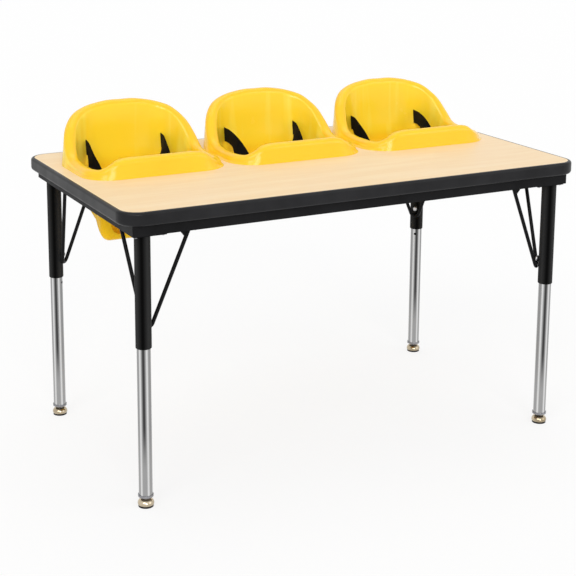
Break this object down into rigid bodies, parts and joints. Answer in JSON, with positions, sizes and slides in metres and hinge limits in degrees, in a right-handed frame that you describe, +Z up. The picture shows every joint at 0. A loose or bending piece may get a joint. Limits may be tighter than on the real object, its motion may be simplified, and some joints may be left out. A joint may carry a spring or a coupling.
{
  "type": "toddler feeding table",
  "caption": "Toddler feeding table: pale laminate top with black edge, yellow moulded bucket seats with lap straps let into it, and height-adjustable chrome legs on swivel glides.",
  "frame": {"origin": "on the floor under the middle of the top", "axes": "+X along the table to the right, +Y to the back where the seats are, +Z up"},
  "size_m": [1.2192, 0.6858, 0.8376],
  "materials": {
    "core": "raw particle board",
    "laminate": "satin pale maple laminate",
    "edge": "satin moulded edge",
    "rail": "black painted",
    "seat": "glossy moulded plastic",
    "webbing": "woven nylon webbing",
    "buckle": "fine-grained plastic",
    "powder_coat": "satin powder coat",
    "chrome": "bright plated tube",
    "ferrule": "moulded plug",
    "nickel": "bright nickel plate",
    "sole": "moulded pad",
    "zinc": "zinc plate"
  },
  "bodies": {
    "table": {"tabletop_core": "core", "top_laminate": "laminate", "edge_band": "edge", "front_rail": "rail", "back_rail": "rail", "left_rail": "rail", "right_rail": "rail", "seat_screws": "zinc", "plate_screws": "zinc", "brace_screws": "zinc", "lock_screws": "zinc", "strap_keepers": "zinc", "seat_left": "seat", "buckle_socket_left": "buckle", "buckle_tongue_left": "buckle", "strap_left_left": "webbing", "strap_left_right": "webbing", "seat_middle": "seat", "buckle_socket_middle": "buckle", "buckle_tongue_middle": "buckle", "strap_middle_left": "webbing", "strap_middle_right": "webbing", "seat_right": "seat", "buckle_socket_right": "buckle", "buckle_tongue_right": "buckle", "strap_right_left": "webbing", "strap_right_right": "webbing", "leg_plate_front_left": "powder_coat", "leg_sleeve_front_left": "powder_coat", "leg_brace_front_left": "powder_coat", "leg_plate_front_right": "powder_coat", "leg_sleeve_front_right": "powder_coat", "leg_brace_front_right": "powder_coat", "leg_plate_back_right": "powder_coat", "leg_sleeve_back_right": "powder_coat", "leg_brace_back_right": "powder_coat", "leg_plate_back_left": "powder_coat", "leg_sleeve_back_left": "powder_coat", "leg_brace_back_left": "powder_coat"},
    "leg_front_left": {"leg_tube_front_left": "chrome", "leg_ferrule_front_left": "ferrule"},
    "stem_front_left": {"glide_stem_front_left": "zinc"},
    "foot_front_left": {"glide_cup_front_left": "nickel", "glide_sole_front_left": "sole"},
    "leg_front_right": {"leg_tube_front_right": "chrome", "leg_ferrule_front_right": "ferrule"},
    "stem_front_right": {"glide_stem_front_right": "zinc"},
    "foot_front_right": {"glide_cup_front_right": "nickel", "glide_sole_front_right": "sole"},
    "leg_back_right": {"leg_tube_back_right": "chrome", "leg_ferrule_back_right": "ferrule"},
    "stem_back_right": {"glide_stem_back_right": "zinc"},
    "foot_back_right": {"glide_cup_back_right": "nickel", "glide_sole_back_right": "sole"},
    "leg_back_left": {"leg_tube_back_left": "chrome", "leg_ferrule_back_left": "ferrule"},
    "stem_back_left": {"glide_stem_back_left": "zinc"},
    "foot_back_left": {"glide_cup_back_left": "nickel", "glide_sole_back_left": "sole"}
  },
  "joints": [
    {"name": "leg_slide_front_left", "type": "slide", "parent": "table", "child": "leg_front_left", "axis": [0, 0, 1], "range_m": [-0.0762, 0.0762]},
    {"name": "glide_turn_front_left", "type": "hinge", "parent": "leg_front_left", "child": "stem_front_left", "pos_m": [-0.5515, -0.2996, 0.03], "axis": [0, 0, 1], "continuous": true},
    {"name": "foot_tilt_front_left", "type": "hinge", "parent": "stem_front_left", "child": "foot_front_left", "pos_m": [-0.5515, -0.2996, 0.0132], "axis": [1, 0, 0], "range_deg": [-10, 10]},
    {"name": "leg_slide_front_right", "type": "slide", "parent": "table", "child": "leg_front_right", "axis": [0, 0, 1], "range_m": [-0.0762, 0.0762]},
    {"name": "glide_turn_front_right", "type": "hinge", "parent": "leg_front_right", "child": "stem_front_right", "pos_m": [0.5515, -0.2996, 0.03], "axis": [0, 0, 1], "continuous": true},
    {"name": "foot_tilt_front_right", "type": "hinge", "parent": "stem_front_right", "child": "foot_front_right", "pos_m": [0.5515, -0.2996, 0.0132], "axis": [1, 0, 0], "range_deg": [-10, 10]},
    {"name": "leg_slide_back_right", "type": "slide", "parent": "table", "child": "leg_back_right", "axis": [0, 0, 1], "range_m": [-0.0762, 0.0762]},
    {"name": "glide_turn_back_right", "type": "hinge", "parent": "leg_back_right", "child": "stem_back_right", "pos_m": [0.5515, 0.2996, 0.03], "axis": [0, 0, 1], "continuous": true},
    {"name": "foot_tilt_back_right", "type": "hinge", "parent": "stem_back_right", "child": "foot_back_right", "pos_m": [0.5515, 0.2996, 0.0132], "axis": [1, 0, 0], "range_deg": [-10, 10]},
    {"name": "leg_slide_back_left", "type": "slide", "parent": "table", "child": "leg_back_left", "axis": [0, 0, 1], "range_m": [-0.0762, 0.0762]},
    {"name": "glide_turn_back_left", "type": "hinge", "parent": "leg_back_left", "child": "stem_back_left", "pos_m": [-0.5515, 0.2996, 0.03], "axis": [0, 0, 1], "continuous": true},
    {"name": "foot_tilt_back_left", "type": "hinge", "parent": "stem_back_left", "child": "foot_back_left", "pos_m": [-0.5515, 0.2996, 0.0132], "axis": [1, 0, 0], "range_deg": [-10, 10]}
  ]
}
